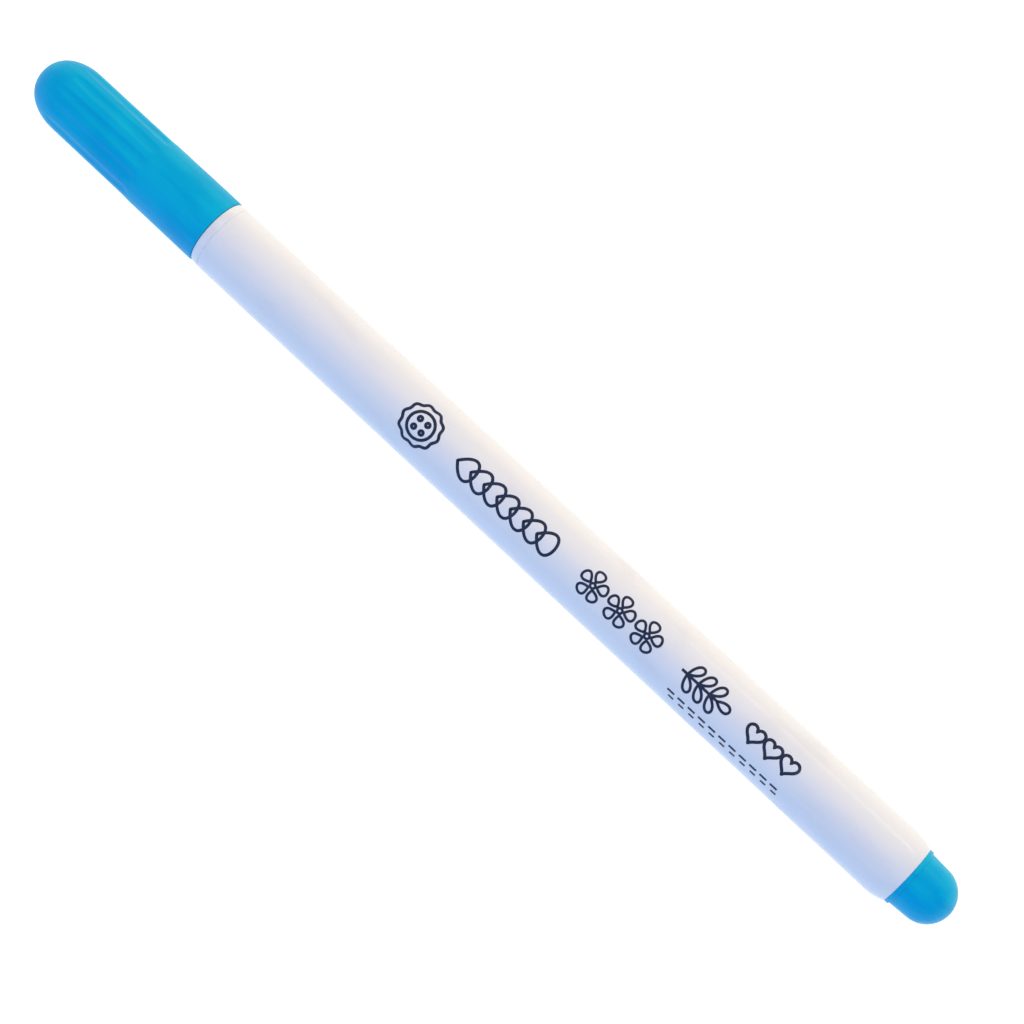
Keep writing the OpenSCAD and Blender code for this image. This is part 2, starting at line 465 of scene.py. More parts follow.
@dataclass(frozen=True)
class PenAxis:
    """The pen's axis in the frame."""

    crown_x: float
    height: float

    @classmethod
    def from_frame(cls) -> "PenAxis":
        """Finds the axis from the barrel and the cap."""
        low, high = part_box("barrel")
        return cls(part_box("cap_shell")[0].x, (low.z + high.z) / 2)

    def x(self, station: float) -> float:
        """The place along X of a station, in metres."""
        return self.crown_x + station * MM

    def point(self, station: float, radius: float, turn: float) -> Vector:
        """The place of a station, radius and turn, in metres."""
        across = radius * MM
        return Vector((self.x(station), -across * sin(turn), self.height + across * cos(turn)))

    def span(self, node: str) -> Span:
        """Measures a CAD node along this axis."""
        low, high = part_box(node)
        start, end = ((corner.x - self.crown_x) / MM for corner in (low, high))
        return Span(start, end, max(high.z - self.height, high.y) / MM)


@dataclass(frozen=True)
class Corner:
    """A corner of an outline, and the radius that rounds it."""

    station: float
    radius: float
    round: float = 0.0


@dataclass(frozen=True)
class Shoulder:
    """An arc that leaves a straight side smoothly and loses radius over its length."""

    length: float
    drop: float

    def lost(self, distance: float) -> float:
        """The radius that is lost at a distance from where the arc starts."""
        bend = (self.length**2 + self.drop**2) / (2 * self.drop)
        return bend - sqrt(bend**2 - distance**2)


def spread(start: float, end: float, steps: int) -> list[float]:
    """Evenly spaced values from start to end, both included."""
    return [start + (end - start) * step / steps for step in range(steps + 1)]


def quarter(centre: float, radius: float, first: float, last: float, steps: int) -> list[Corner]:
    """Corners along an arc whose centre is on the axis.

    Args:
        centre: the station of the centre.
        radius: the arc's radius.
        first: the angle of the first corner, in degrees, from +X.
        last: the angle of the last corner.
        steps: how many steps the arc takes.

    Returns:
        The corners, from first to last.
    """
    angles = [radians(angle) for angle in spread(first, last, steps)]
    return [Corner(centre + radius * cos(a), max(radius * sin(a), 0.0)) for a in angles]


def rounded(corners: Sequence[Corner], steps: int = 5, guard: float = 0.03) -> Outline:
    """Rounds the corners of an outline.

    Args:
        corners: the corners. An outline that starts on the axis is open, any other is closed.
        steps: how many steps a rounded corner takes.
        guard: how far from a rounded corner an extra point keeps the side beside it flat.

    Returns:
        The outline's points, as (station, radius).
    """
    points = [Vector((corner.station, corner.radius)) for corner in corners]
    outline: Outline = []
    for i, (corner, here) in enumerate(zip(corners, points)):
        if not corner.round:
            outline.append(here)
            continue
        back = (points[i - 1] - here).normalized()
        ahead = (points[(i + 1) % len(points)] - here).normalized()
        half = back.angle(ahead) / 2
        centre = here + (back + ahead).normalized() * (corner.round / sin(half))
        reach = corner.round / tan(half)
        first, last = (here + side * reach - centre for side in (back, ahead))
        whole = first.angle(last)
        outline.append(here + back * (reach + guard))
        for share in spread(0, 1, steps):
            turned = first * sin((1 - share) * whole) + last * sin(share * whole)
            outline.append(centre + turned / sin(whole))
        outline.append(here + ahead * (reach + guard))
    return outline


def smooth(piece: bpy.types.Object) -> bpy.types.Object:
    """Shades a piece smooth, apart from its sharp edges."""
    piece.data.shade_smooth()
    piece.data.set_sharp_from_angle(angle=SHARP_ANGLE)
    return piece


def make_piece(name: str, shape: bmesh.types.BMesh) -> bpy.types.Object:
    """Puts a bmesh into the scene as an object."""
    mesh = bpy.data.meshes.new(name)
    shape.to_mesh(mesh)
    shape.free()
    piece = bpy.data.objects.new(name, mesh)
    bpy.context.scene.collection.objects.link(piece)
    return piece


def lathe(name: str, outline: Outline, axis: PenAxis, sides: int) -> bpy.types.Object:
    """Turns an outline around the pen's axis.

    Args:
        name: the new piece's name.
        outline: its points. If it starts on the axis it ends there too, and it gets poles.
        axis: the pen's axis.
        sides: how many sides go round.

    Returns:
        A closed mesh with its faces pointing outwards.
    """
    shape = bmesh.new()
    rings = []
    for station, radius in outline:
        count = 1 if radius < ON_AXIS else sides
        turns = [2 * pi * k / count for k in range(count)]
        rings.append([shape.verts.new(axis.point(station, radius, turn)) for turn in turns])
    following = rings[1:] if len(rings[0]) == 1 else rings[1:] + rings[:1]
    for ring, after in zip(rings, following):
        for k in range(sides):
            around = ((ring, k), (ring, k + 1), (after, k + 1), (after, k))
            corners = dict.fromkeys(row[index % len(row)] for row, index in around)
            if len(corners) > 2:
                shape.faces.new(corners)
    bmesh.ops.remove_doubles(shape, verts=shape.verts, dist=ON_AXIS * MM)
    bmesh.ops.recalc_face_normals(shape, faces=shape.faces)
    return make_piece(name, shape)


class Joining(Enum):
    """What bars around the axis do to the mesh they meet."""

    ADD = "UNION"
    CUT = "DIFFERENCE"


@dataclass(frozen=True)
class Bars:
    """Straight bars set evenly around the axis, which are added to a piece or cut from it."""

    joining: Joining
    count: int
    start: float
    end: float
    inner: float
    outer: float
    width: float

    def recipe(self) -> Recipe:
        """Writes the tree that sets the bars around the axis."""
        recipe = Recipe(
            f"bars_{self.joining.name.lower()}",
            {"Count": "Int", "Size": "Vector", "Middle": "Float", "Reach": "Float", "Axis height": "Float"},
        )
        graph, given = recipe.graph, recipe.given
        bar = graph.node("GeometryNodeMeshCube", None, {"Size": given["Size"]})["Mesh"]
        index = graph.node("GeometryNodeInputIndex")["Index"]
        turn = index * (2 * pi) / given["Count"]
        across = given["Reach"] * graph.maths("SINE", turn)
        along = given["Reach"] * graph.maths("COSINE", turn) + given["Axis height"]
        line = graph.node("GeometryNodeMeshLine", None, {"Count": given["Count"]})["Mesh"]
        places = graph.node(
            "GeometryNodeSetPosition",
            None,
            {"Geometry": line, "Position": graph.vector(given["Middle"], across * -1.0, along)},
        )["Geometry"]
        bars = graph.node(
            "GeometryNodeInstanceOnPoints",
            None,
            {"Points": places, "Instance": bar, "Rotation": graph.vector(turn, 0.0, 0.0)},
        )["Instances"]
        solid = graph.node("GeometryNodeRealizeInstances", None, {0: bars})[0]
        sockets = {"Mesh 2": solid}
        if self.joining is Joining.CUT:
            sockets["Mesh 1"] = given["Mesh"]
        else:
            sockets["Mesh 2"] = [given["Mesh"], solid]
        settings = {"operation": self.joining.value, "solver": "EXACT"}
        recipe.end(graph.node("GeometryNodeMeshBoolean", settings, sockets)["Mesh"])
        return recipe

    def apply(self, piece: bpy.types.Object, axis: PenAxis, material: bpy.types.Material) -> None:
        """Adds the bars to a piece or cuts them from it."""
        size = Vector((self.end - self.start, self.width, self.outer - self.inner)) * MM
        values = {
            "Count": self.count,
            "Size": size,
            "Middle": axis.x((self.start + self.end) / 2),
            "Reach": (self.inner + self.outer) / 2 * MM,
            "Axis height": axis.height,
            "Material": material,
        }
        self.recipe().run(piece, values)


# --- Sub-assemblies ------------------------------------------------------------------------------


@dataclass
class SubAssembly:
    """What every sub-assembly has: the axis, and a body that its pieces ride on."""

    axis: PenAxis
    body: str = PEN

    def settle(self, piece: bpy.types.Object, slot: str, *nodes: str) -> bpy.types.Object:
        """Lets a piece ride on the body, and hides the CAD nodes that it stands for.

        Args:
            piece: the finished piece.
            slot: the record's material slot.
            nodes: the CAD nodes that it replaces.

        Returns:
            The piece.
        """
        smooth(piece)
        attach(piece, self.body)
        if nodes:
            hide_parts(*nodes)
        log.info("%s rides on %s, %d faces", piece.name, self.body, len(piece.data.polygons))
        return piece

    def dress(self, node: str, finish: Finish) -> None:
        """Gives a CAD node that stays a better material."""
        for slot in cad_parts[node].material_slots:
            slot.material = finish.material()
        log.info("%s keeps its CAD shape, in %s", node, finish.name)


@dataclass
class Cap(SubAssembly):
    """The pull-off cap: a fluted shell with a rounded crown, and the seal inside it."""

    body: str = CAP
    crown_length: float = 5.8
    crown_radius: float = 4.15
    crown_fullness: float = 2.3
    crown_steps: int = 44
    side_steps: int = 90
    rim_round: float = 0.25
    rim_guard: float = 0.05
    bore_radius: float = 3.4
    lead_in: float = 0.3
    seat_radius: float = 3.0
    seat_end: float = 15.15
    crown_wall: float = 1.5
    seat_steps: int = 16
    flutes: int = 12
    flute_depth: float = 0.12
    flute_cutter: float = 2.4
    flute_end: float = 18.1
    flute_runout: float = 1.5
    flute_lift: float = 0.25
    edge_softness: float = 0.05
    sides_per_flute: int = 24
    plastic: Finish = MouldedColour("azure_cap", (0.0, 0.35, 0.62), (0.002, 0.41, 0.64))
    seal: Finish = MilkyPlastic("soft_seal", (0.78, 0.82, 0.84), gloss=0.5)

    def outside(self, length: float, mouth: float) -> list[Corner]:
        """The crown, and the side down to the rim."""
        power = 2 / self.crown_fullness
        corners = []
        for turn in spread(0, pi / 2, self.crown_steps):
            out, back = sin(turn) ** power, max(cos(turn), 0.0) ** power
            corners.append(Corner(self.crown_length * (1 - back), self.crown_radius * out))
        side_end = length - self.rim_round - self.rim_guard
        for station in spread(self.crown_length, side_end, self.side_steps)[1:]:
            share = (station - self.crown_length) / (length - self.crown_length)
            corners.append(Corner(station, self.crown_radius + (mouth - self.crown_radius) * share))
        return corners + [Corner(length, mouth, self.rim_round)]

    def inside(self, length: float) -> list[Corner]:
        """The bore, from the mouth to the dome behind the seal."""
        centre = self.crown_wall + self.seat_radius
        return [
            Corner(length, self.bore_radius + self.lead_in, 0.06),
            Corner(length - self.lead_in, self.bore_radius, 0.1),
            Corner(self.seat_end + self.lead_in, self.bore_radius),
            Corner(self.seat_end, self.seat_radius),
            *quarter(centre, self.seat_radius, 90, 180, self.seat_steps),
        ]

    def flute_recipe(self) -> Recipe:
        """Writes the tree that presses the flutes into the outside of the shell."""
        names = ("Cutter radius", "Cutter reach", "Flute end", "Run-out", "Edge softness", "Axis height")
        recipe = Recipe("cap_flutes", {"Flutes": "Int", **dict.fromkeys(names, "Float")})
        graph, given = recipe.graph, recipe.given
        x, y, z = graph.parts(graph.node("GeometryNodeInputPosition")["Position"])
        up = z - given["Axis height"]
        radius = (y * y + up * up) ** 0.5
        turn = graph.maths("ARCTAN2", y, up)
        half_pitch = pi / given["Flutes"]
        folded = graph.maths("WRAP", turn, half_pitch, half_pitch * -1.0)
        across = given["Cutter reach"] * graph.maths("SINE", folded)
        under_root = given["Cutter radius"] * given["Cutter radius"] - across * across
        bite = graph.maths("MAXIMUM", under_root, 0.0) ** 0.5
        wall = given["Cutter reach"] * graph.maths("COSINE", folded) - bite
        lift = graph.rise(x, given["Flute end"] - given["Run-out"], given["Flute end"])
        pressed = graph.maths(
            "SMOOTH_MIN", radius, wall + lift * given["Run-out"] * self.flute_lift, given["Edge softness"]
        )
        share = pressed / radius
        place = graph.vector(x, y * share, up * share + given["Axis height"])
        moved = graph.node("GeometryNodeSetPosition", None, {"Geometry": given["Mesh"], "Position": place})
        recipe.end(moved["Geometry"])
        return recipe

    def build(self) -> None:
        """Makes the shell and dresses the seal."""
        span = self.axis.span("cap_shell")
        outline = rounded([*self.outside(span.end, span.radius), *self.inside(span.end)])
        shell = lathe("cap_moulding", outline, self.axis, self.flutes * self.sides_per_flute)
        reach = self.crown_radius + self.flute_cutter - self.flute_depth
        values = {
            "Flutes": self.flutes,
            "Cutter radius": self.flute_cutter * MM,
            "Cutter reach": reach * MM,
            "Flute end": self.axis.x(self.flute_end),
            "Run-out": self.flute_runout * MM,
            "Edge softness": self.edge_softness * MM,
            "Axis height": self.axis.height,
            "Material": self.plastic.material(),
        }
        self.settle(self.flute_recipe().run(shell, values), "cap_plastic", "cap_shell")
        self.dress("cap_inner_seal", self.seal)


@dataclass
class Barrel(SubAssembly):
    """The white tube, whose two ends are rounded down to the collar and to the plug."""

    front: Shoulder = Shoulder(2.3, 0.16)
    rear: Shoulder = Shoulder(2.4, 0.5)
    rest_gap: float = 0.05
    bore_radius: float = 3.25
    seam_bevel: float = 0.06
    rim_round: float = 0.12
    front_steps: int = 10
    straight_steps: int = 24
    rear_steps: int = 16
    sides: int = 256
    ribs: Bars = Bars(Joining.ADD, 6, start=39.15, end=122.3, inner=3.0, outer=3.55, width=0.5)
    plastic: Finish = GlossyWhite("barrel_white", (0.74, 0.75, 0.77), (0.7, 0.71, 0.74))

    def front_radius(self, station: float) -> float:
        """The radius of the front shoulder, which the collar carries on."""
        shoulder_end = self.axis.span("cap_shell").end + self.rest_gap + self.front.length
        return self.axis.span("barrel").radius - self.front.lost(max(shoulder_end - station, 0.0))

    def outline(self) -> Outline:
        """The tube's outline, along the outside and back along the bore."""
        span = self.axis.span("barrel")
        shoulder_end = self.axis.span("cap_shell").end + self.rest_gap + self.front.length
        straight_end = span.end - self.rear.length
        front_face = self.front_radius(span.start) - self.seam_bevel
        stations = spread(span.start + self.seam_bevel, shoulder_end, self.front_steps)
        corners = [Corner(span.start, self.bore_radius), Corner(span.start, front_face)]
        corners += [Corner(station, self.front_radius(station)) for station in stations]
        straight = spread(shoulder_end, straight_end, self.straight_steps)
        corners += [Corner(station, span.radius) for station in straight[1:]]
        drops = spread(0, self.rear.length, self.rear_steps)
        corners += [Corner(straight_end + d, span.radius - self.rear.lost(d)) for d in drops[1:-1]]
        corners.append(Corner(span.end, span.radius - self.rear.drop, self.rim_round))
        return rounded([*corners, Corner(span.end, self.bore_radius)])

    def build(self) -> None:
        """Makes the tube with the ribs in its bore."""
        tube = lathe("barrel_moulding", self.outline(), self.axis, self.sides)
        self.ribs.apply(tube, self.axis, self.plastic.material())
        self.settle(tube, "barrel_plastic", "barrel")


@dataclass
class FrontSection(SubAssembly):
    """The nib holder, from the nose past the neck and the collar to the stem, and the nib in it."""

    barrel: Barrel = field(kw_only=True)
    land_radius: float = 2.35
    land: tuple[float, float] = (13.35, 14.95)
    neck_start: float = 16.45
    neck_radius: float = 3.32
    neck_round: float = 0.3
    nib_grip: float = 0.1
    bead_at: float = 22.15
    bead_height: float = 0.04
    bead_half: float = 0.5
    nose_radius: float = 1.45
    collar: tuple[float, float] = (27.45, 28.55)
    collar_steps: int = 6
    stem_gap: float = 0.01
    stem_chamfer: float = 0.4
    nib_gap: float = 0.02
    cavity_radius: float = 2.55
    cavity_cone: float = 1.4
    nib_tip_radius: float = 0.42
    nib_taper: float = 1.9
    nib_tip_steps: int = 12
    sides: int = 192
    vents: Bars = Bars(Joining.CUT, 2, start=7.0, end=18.65, inner=0.5, outer=1.19, width=0.4)
    guides: Bars = Bars(Joining.ADD, 4, start=23.45, end=30.45, inner=0.955, outer=2.85, width=0.6)
    plastic: Finish = MilkyPlastic("section_white", (0.76, 0.77, 0.79), gloss=0.3)
    fibre: Finish = BondedFibre("nib_fibre", (0.1, 0.36, 0.72), (0.02, 0.16, 0.5), strand=0.07)

    def outside(self, start: float, end: float) -> list[Corner]:
        """The outside from the nose back to the end of the stem."""
        (land_start, land_end), (collar_start, collar_end) = self.land, self.collar
        bevel = self.barrel.seam_bevel
        stem = self.barrel.bore_radius - self.stem_gap
        front = self.barrel.front_radius
        stations = spread(collar_start + bevel, collar_end - bevel, self.collar_steps)
        return [
            Corner(start, self.nose_radius, 0.18),
            Corner(land_start, self.land_radius, 0.3),
            Corner(land_end, self.land_radius, 0.3),
            Corner(self.neck_start - self.neck_round, self.neck_radius - self.neck_round, 0.12),
            Corner(self.neck_start, self.neck_radius, 0.2),
            Corner(self.bead_at - self.bead_half, self.neck_radius),
            Corner(self.bead_at, self.neck_radius + self.bead_height, 0.8),
            Corner(self.bead_at + self.bead_half, self.neck_radius),
            Corner(collar_start, self.neck_radius, 0.05),
            Corner(collar_start, front(collar_start) - bevel, 0.03),
            *[Corner(station, front(station)) for station in stations],
            Corner(collar_end, front(collar_end) - bevel),
            Corner(collar_end, stem),
            Corner(end - self.stem_chamfer, stem),
            Corner(end, stem - self.stem_chamfer),
        ]

    def inside(self, start: float, end: float, nib_radius: float) -> list[Corner]:
        """The cavity in the stem and the bore that grips the nib."""
        bore = nib_radius + self.nib_gap
        return [
            Corner(end, self.cavity_radius),
            Corner(self.neck_start + self.cavity_cone, self.cavity_radius),
            Corner(self.neck_start + self.nib_grip, bore),
            Corner(start, bore, 0.05),
        ]

    def build(self) -> None:
        """Makes the holder with its vents and guides, and the nib."""
        span, nib_span = self.axis.span("front_section"), self.axis.span("nib")
        corners = [
            *self.outside(span.start, span.end),
            *self.inside(span.start, span.end, nib_span.radius),
        ]
        holder = lathe("front_section_moulding", rounded(corners), self.axis, self.sides)
        material = self.plastic.material()
        self.guides.apply(holder, self.axis, material)
        self.vents.apply(holder, self.axis, material)
        self.settle(holder, "section_plastic", "front_section")
        self.build_nib(nib_span)

    def build_nib(self, span: Span) -> None:
        """Makes the fibre nib with its rounded writing tip."""
        tip = quarter(span.start + self.nib_tip_radius, self.nib_tip_radius, 180, 105, self.nib_tip_steps)
        corners = [
            *tip,
            Corner(span.start + self.nib_taper, span.radius, 0.5),
            Corner(span.end, span.radius, 0.05),
            Corner(span.end, 0.0),
        ]
        nib = lathe("nib_point", rounded(corners), self.axis, self.sides)
        nib.data.materials.append(self.fibre.material())
        self.settle(nib, "nib_fibre", "nib")


@dataclass
class InkSystem(SubAssembly):
    """The fibre core, its film and its breather, which stay as the CAD has them."""

    core: Finish = BondedFibre("reservoir_fibre", (0.3, 0.55, 0.78), (0.06, 0.26, 0.62), strand=0.12)
    film: Finish = ClearFilm("wrap_film", (0.75, 0.83, 0.88), opacity=0.35)
    tube: Finish = MilkyPlastic("breather_plastic", (0.82, 0.85, 0.85), gloss=0.45)

    def build(self) -> None:
        """Dresses the three nodes."""
        self.dress("ink_reservoir", self.core)
        self.dress("reservoir_wrap", self.film)
        self.dress("breather_tube", self.tube)


@dataclass
class EndPlug(SubAssembly):
    """The blue plug: a dome on a base flange, and a barbed stem in the barrel."""

    barrel: Barrel = field(kw_only=True)
    flange_length: float = 0.55
    flange_round: float = 0.1
    neck_radius: float = 3.54
    neck_fillet: float = 0.04
    edge_guard: float = 0.01
    dome_radius: float = 3.41
    dome_steps: int = 28
    stem_gap: float = 0.01
    relief: float = 0.12
    barbs: int = 3
    barb_length: float = 1.1
    barb_pitch: float = 1.65
    first_barb: float = 1.2
    stem_chamfer: float = 0.4
    core_radius: float = 2.2
    core_wall: float = 1.1
    core_steps: int = 12
    sides: int = 192
    vent: Bars = Bars(Joining.CUT, 1, start=123.8, end=131.2, inner=2.77, outer=4.1, width=0.7)
    plastic: Finish = MouldedColour("azure_plug", (0.0, 0.33, 0.64), (0.002, 0.42, 0.65), gloss=0.32)

    def outline(self) -> Outline:
        """The plug's outline, from the dome's tip round to the top of its core."""
        span = self.axis.span("end_plug")
        core_centre = span.end - self.core_wall - self.core_radius
        face = self.axis.span("barrel").end
        flange_end = face + self.flange_length
        top = self.barrel.bore_radius - self.stem_gap
        root = top - self.relief
        corners = quarter(span.end - self.dome_radius, self.dome_radius, 0, 90, self.dome_steps)
        corners += [
            Corner(flange_end, self.neck_radius, self.neck_fillet),
            Corner(flange_end, span.radius, self.flange_round),
            Corner(face, span.radius, self.flange_round),
            Corner(face, root),
            Corner(face - self.first_barb, root),
        ]
        for index in range(self.barbs):
            barb = face - self.first_barb - index * self.barb_pitch
            corners += [
                Corner(barb, top),
                Corner(barb - self.barb_length / 3, top),
                Corner(barb - self.barb_length, root),
                Corner(barb - self.barb_pitch, root),
            ]
        corners += [
            Corner(span.start + self.stem_chamfer, root),
            Corner(span.start, root - self.stem_chamfer),
            Corner(span.start, self.core_radius),
            *quarter(core_centre, self.core_radius, 90, 0, self.core_steps),
        ]
        return rounded(corners, guard=self.edge_guard)

    def build(self) -> None:
        """Makes the plug and cuts the vent along its stem."""
        plug = lathe("end_plug_moulding", self.outline(), self.axis, self.sides)
        self.vent.apply(plug, self.axis, self.plastic.material())
        self.settle(plug, "plug_plastic", "end_plug")


# --- The print on the barrel ---------------------------------------------------------------------


@dataclass
class Motif:
    """Strokes on the flat: along the pen, then across it towards +Y."""

    strokes: list[tuple[list[tuple[float, float]], bool]] = field(default_factory=list)
    LAYER = 0.0015
    RING_STEPS_PER_MM = 44
    RING_STEPS_LEAST = 20
    PETAL_STEPS = 40
    HEART_STEPS = 48

    def curve(self, rule: Rule, steps: int, closed: bool = False) -> "Motif":
        """Adds a stroke that follows a rule from 0 to 1."""
        last = steps if closed else steps + 1
        self.strokes.append(([rule(step / steps) for step in range(last)], closed))
        return self

    def line(self, start: tuple[float, float], end: tuple[float, float], steps: int = 8) -> "Motif":
        """Adds a straight stroke."""
        return self.curve(
            lambda t: (start[0] + (end[0] - start[0]) * t, start[1] + (end[1] - start[1]) * t), steps
        )

    def ring(self, u: float, v: float, radius: float, lobes: int = 0, wave: float = 0.0) -> "Motif":
        """Adds a closed ring, which is wavy if it has lobes."""

        def rule(t: float) -> tuple[float, float]:
            """A point of the ring."""
            reach = radius + wave * cos(2 * pi * lobes * t)
            return u + reach * cos(2 * pi * t), v + reach * sin(2 * pi * t)

        steps = max(self.RING_STEPS_LEAST, int(radius * self.RING_STEPS_PER_MM))
        return self.curve(rule, steps, closed=True)

    def petal(self, u: float, v: float, length: float, width: float, heading: float = 0.0) -> "Motif":
        """Adds a closed petal that starts at a point and swells towards its heading."""

        def rule(t: float) -> tuple[float, float]:
            """A point of the petal."""
            ahead = length * (1 - cos(2 * pi * t)) / 2
            aside = 0.65 * width * sin(2 * pi * t) * sin(pi * t)
            return (
                u + ahead * cos(heading) - aside * sin(heading),
                v + ahead * sin(heading) + aside * cos(heading),
            )

        return self.curve(rule, self.PETAL_STEPS, closed=True)

    def heart(self, u: float, v: float, size: float) -> "Motif":
        """Adds a heart whose point is towards -Y."""

        def rule(t: float) -> tuple[float, float]:
            """A point of the heart."""
            turn = 2 * pi * t
            height = 13 * cos(turn) - 5 * cos(2 * turn) - 2 * cos(3 * turn) - cos(4 * turn)
            return u + size * sin(turn) ** 3, v + size * height / 16

        return self.curve(rule, self.HEART_STEPS, closed=True)

    def edges(self, name: str) -> bpy.types.Object:
        """Makes a mesh of bare edges, each stroke a hair above the one before."""
        shape = bmesh.new()
        for layer, (points, closed) in enumerate(self.strokes):
            row = [shape.verts.new((u * MM, v * MM, layer * self.LAYER * MM)) for u, v in points]
            following = row[1:] + row[:1] if closed else row[1:]
            for one, other in zip(row, following):
                shape.edges.new((one, other))
        return make_piece(name, shape)


@dataclass(frozen=True)
class PrintedRow:
    """A motif printed a number of times along the barrel."""

    name: str
    motif: Motif
    start: float
    turn: float
    repeats: int = 1
    pitch: float = 1.0
    stroke: float = 0.36


@dataclass
class Print(SubAssembly):
    """The printed decoration: a sewing button, embroidery motifs and a line of stitches."""

    ink_rise: float = 0.014
    ink_depth: float = 0.012
    middle: float = radians(4)
    lower: float = radians(47)
    ink: Finish = PrintedInk("print_ink", (0.012, 0.013, 0.04), (0.05, 0.052, 0.11))

    def recipe(self) -> Recipe:
        """Writes the tree that draws, repeats and wraps a motif's strokes."""
        places = ("Pitch", "Start", "Turn", "Radius", "Axis height")
        strokes = ("Stroke", "Ink rise", "Ink depth", "Layer")
        floats = dict.fromkeys(places + strokes, "Float")
        recipe = Recipe("printed_row", {"Repeats": "Int", **floats})
        graph, given = recipe.graph, recipe.given
        lines = graph.node("GeometryNodeMeshToCurve", None, {"Mesh": given["Mesh"]})["Curve"]
        lines = graph.node("GeometryNodeSetCurveNormal", {"mode": "Z_UP"}, {"Curve": lines})["Curve"]
        thickness = given["Ink rise"] + given["Ink depth"]
        nib = graph.node(
            "GeometryNodeCurvePrimitiveQuadrilateral",
            {"mode": "RECTANGLE"},
            {"Width": given["Stroke"], "Height": thickness},
        )["Curve"]
        drawn = graph.node(
            "GeometryNodeCurveToMesh", None, {"Curve": lines, "Profile Curve": nib, "Fill Caps": True}
        )["Mesh"]
        step = graph.vector(given["Pitch"], 0.0, 0.0)
        row = graph.node(
            "GeometryNodeMeshLine", None, {"Count": given["Repeats"], "Offset": step}
        )["Mesh"]
        index = graph.node("GeometryNodeInputIndex")["Index"]
        lifted = graph.vector(0.0, 0.0, graph.maths("MODULO", index, 2.0) * given["Layer"])
        row = graph.node("GeometryNodeSetPosition", None, {"Geometry": row, "Offset": lifted})["Geometry"]
        copies = graph.node("GeometryNodeInstanceOnPoints", None, {"Points": row, "Instance": drawn})
        flat = graph.node("GeometryNodeRealizeInstances", None, {0: copies["Instances"]})[0]
        along, across, height = graph.parts(graph.node("GeometryNodeInputPosition")["Position"])
        angle = given["Turn"] - across / given["Radius"]
        middle = given["Radius"] + (given["Ink rise"] - given["Ink depth"]) * 0.5
        reach = middle + height
        place = graph.vector(
            given["Start"] + along,
            reach * graph.maths("SINE", angle) * -1.0,
            reach * graph.maths("COSINE", angle) + given["Axis height"],
        )
        wrapped = graph.node("GeometryNodeSetPosition", None, {"Geometry": flat, "Position": place})
        recipe.end(wrapped["Geometry"])
        return recipe

    def rows(self) -> list[PrintedRow]:
        """The button, a chain, flowers, leaves and hearts, and a small line of running stitch."""
        button = Motif().ring(0, 0, 2.4, lobes=10, wave=0.11).ring(0, 0, 1.6)
        for side in (-1, 1):
            button.ring(0.56 * side, 0.56 * side, 0.24).ring(-0.56 * side, 0.56 * side, 0.24)
        chain = Motif().petal(0, 0, 2.6, 2.7)
        daisy = Motif().ring(0, 0, 0.3)
        for heading in spread(radians(90), radians(450), 5)[:-1]:
            daisy.petal(0.5 * cos(heading), 0.5 * sin(heading), 1.3, 1.15, heading)
        sprig = Motif().line((0, 0), (5.1, 0)).petal(5.1, 0, 1.75, 0.95)
        for joint in (0.8, 2.4, 4.0):
            for side in (-1, 1):
                sprig.petal(joint, 0, 2.0, 0.9, side * radians(54))
        heart = Motif().heart(1.2, 0.15, 1.15)
        dash = Motif().line((0, 0.32), (1.0, 0.32)).line((0.5, -0.36), (1.25, -0.36))
        return [
            PrintedRow("print_button", button, 60.2, self.middle),
            PrintedRow("print_chain_stitch", chain, 65.8, self.middle, 7, 1.98),
            PrintedRow("print_daisies", daisy, 86.0, self.middle, 3, 4.0, 0.3),
            PrintedRow("print_leaf_sprig", sprig, 99.2, self.middle, stroke=0.32),
            PrintedRow("print_hearts", heart, 108.5, self.middle, 3, 2.45),
            PrintedRow("print_running_stitch", dash, 99.4, self.lower, 11, 1.5, 0.27),
        ]

    def build(self) -> None:
        """Prints every row onto the barrel."""
        material, recipe = self.ink.material(), self.recipe()
        radius = self.axis.span("barrel").radius
        for row in self.rows():
            values = {
                "Repeats": row.repeats,
                "Pitch": row.pitch * MM,
                "Start": self.axis.x(row.start),
                "Turn": row.turn,
                "Radius": radius * MM,
                "Axis height": self.axis.height,
                "Stroke": row.stroke * MM,
                "Ink rise": self.ink_rise * MM,
                "Ink depth": self.ink_depth * MM,
                "Layer": Motif.LAYER * MM / 2,
                "Material": material,
            }
            self.settle(recipe.run(row.motif.edges(row.name), values), "print_ink")


# --- Studio --------------------------------------------------------------------------------------


@dataclass(frozen=True)
class Softbox:
    """A soft light that faces the pen from a turn about its axis.

    Its size is given along the pen, then across it.
    """

    name: str
    turn: float
    along: float
    distance: float
    size: tuple[float, float]
    power: float
    colour: Colour
    in_gloss: bool = True

    def light(self, centre: Vector) -> None:
        """Hangs the light.

        Args:
            centre: the middle of the pen.
        """
        lamp = bpy.data.lights.new(self.name, "AREA")
        lamp.shape = "RECTANGLE"
        lamp.size, lamp.size_y = self.size
        lamp.energy, lamp.color = self.power, self.colour
        away = Vector((self.along, -sin(self.turn), cos(self.turn))).normalized()
        hung = bpy.data.objects.new(self.name, lamp)
        hung.location = centre + away * self.distance
        hung.rotation_mode = "QUATERNION"
        hung.rotation_quaternion = away.to_track_quat("Z", "Y")
        hung.visible_glossy = self.in_gloss
        bpy.context.scene.collection.objects.link(hung)


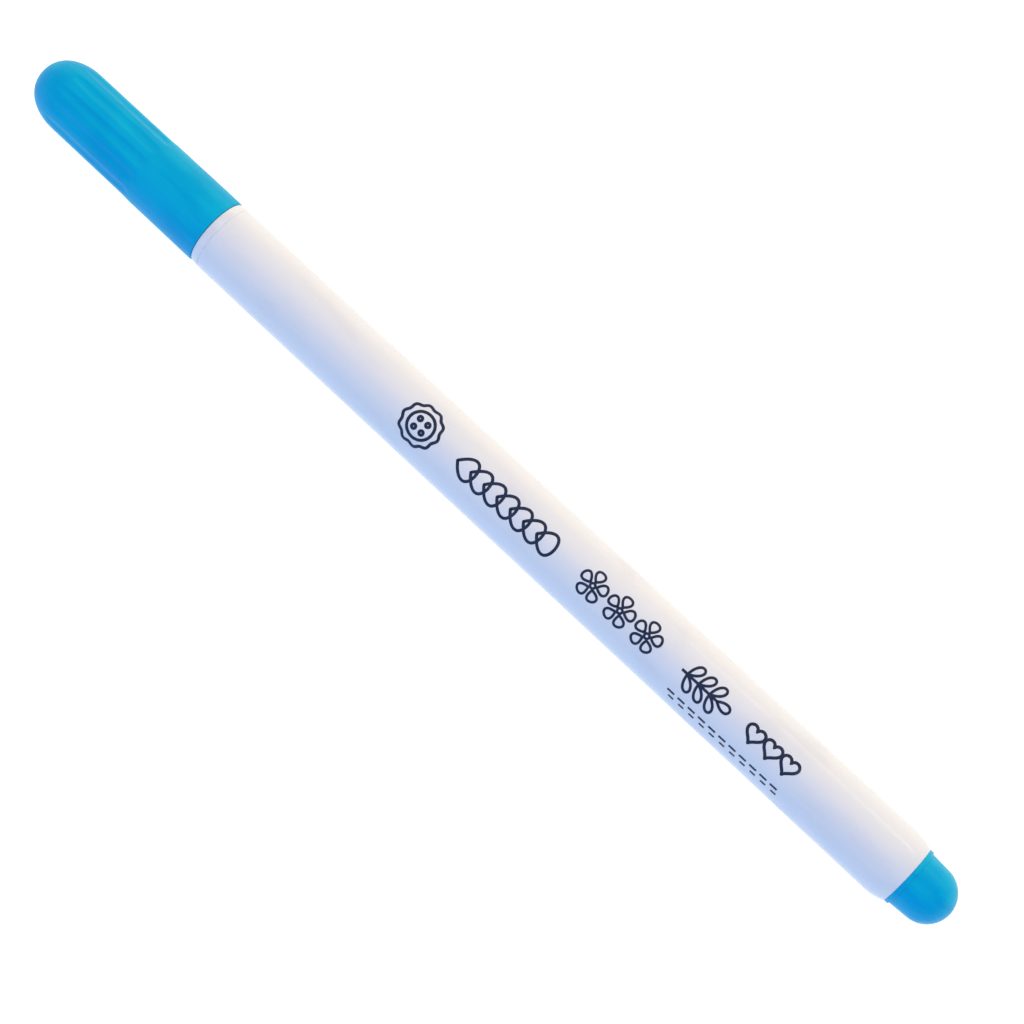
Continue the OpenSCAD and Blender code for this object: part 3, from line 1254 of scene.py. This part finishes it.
@dataclass
class Studio:
    """Floor, soft lights and camera."""

    axis: PenAxis
    floor_size: float = 6.0
    floor: Finish = StudioWhite("studio_floor", glow=0.95)
    horizon: Colour = (0.95, 0.95, 0.96)
    zenith: Colour = (0.2, 0.5, 0.86)
    sky_from: float = 0.05
    sky_full: float = 0.3
    camera_distance: float = 0.3
    camera_tilt: float = radians(7)
    camera_turn: float = radians(42.94)
    camera_lens: float = 95.28
    camera_sensor: float = 36.0
    camera_near: float = 0.01
    camera_far: float = 20.0
    aim_along: float = 4.5
    aim_across: float = -0.4
    softboxes: tuple[Softbox, ...] = (
        Softbox("warm_key", radians(-30), 0.0, 0.45, (0.22, 0.4), 1.72, (1.0, 0.56, 0.03), in_gloss=False),
        Softbox("gloss_strip", radians(-66), 0.27, 0.45, (0.25, 0.06), 0.16, (1.0, 0.84, 0.65)),
        Softbox("cool_fill", radians(30), 0.0, 0.45, (0.22, 0.4), 0.42, (0.02, 0.12, 1.0), in_gloss=False),
    )

    def lay_floor(self) -> None:
        """Lays the floor under the pen."""
        shape = bmesh.new()
        bmesh.ops.create_grid(shape, x_segments=1, y_segments=1, size=self.floor_size / 2)
        floor = make_piece("studio_floor", shape)
        floor.data.materials.append(self.floor.material())

    def light_world(self) -> None:
        """Makes the surroundings pale at the horizon and cooler overhead."""
        world = bpy.data.worlds.new("studio")
        world.use_nodes = True
        bpy.context.scene.world = world
        graph = Graph(world.node_tree)
        height = graph.parts(graph.node("ShaderNodeTexCoord")["Generated"])[2]
        colour = graph.blend(graph.rise(height, self.sky_from, self.sky_full), self.horizon, self.zenith)
        sky = graph.node("ShaderNodeBackground", None, {"Color": colour})
        graph.node("ShaderNodeOutputWorld", None, {"Surface": sky[0]})

    def place_camera(self, centre: Vector) -> None:
        """Places the camera above the pen, turned so that the pen lies across the picture."""
        back = Vector((sin(self.camera_tilt), 0, cos(self.camera_tilt)))
        along = Vector((cos(self.camera_tilt), 0, -sin(self.camera_tilt)))
        across = Vector((0, 1, 0))
        right = along * cos(self.camera_turn) + across * sin(self.camera_turn)
        up = across * cos(self.camera_turn) - along * sin(self.camera_turn)
        aim = centre + along * self.aim_along * MM + across * self.aim_across * MM
        lens = bpy.data.cameras.new("camera")
        lens.lens, lens.sensor_width = self.camera_lens, self.camera_sensor
        lens.clip_start, lens.clip_end = self.camera_near, self.camera_far
        camera = bpy.data.objects.new("camera", lens)
        facing = Matrix((right, up, back)).transposed().to_4x4()
        camera.matrix_world = Matrix.Translation(aim + back * self.camera_distance) @ facing
        bpy.context.scene.collection.objects.link(camera)
        bpy.context.scene.camera = camera

    def build(self) -> None:
        """Sets up the whole studio."""
        centre = Vector((0, 0, self.axis.height))
        self.lay_floor()
        self.light_world()
        for softbox in self.softboxes:
            softbox.light(centre)
        self.place_camera(centre)
        bpy.context.scene.view_settings.view_transform = "Standard"


def main() -> None:
    """Builds the pen's sub-assemblies and the studio."""
    logging.basicConfig(level=logging.INFO, format="%(name)s: %(message)s")
    axis = PenAxis.from_frame()
    barrel = Barrel(axis)
    for assembly in (
        Studio(axis),
        barrel,
        FrontSection(axis, barrel=barrel),
        InkSystem(axis),
        EndPlug(axis, barrel=barrel),
        Cap(axis),
        Print(axis),
    ):
        assembly.build()


if __name__ == "__main__":
    main()
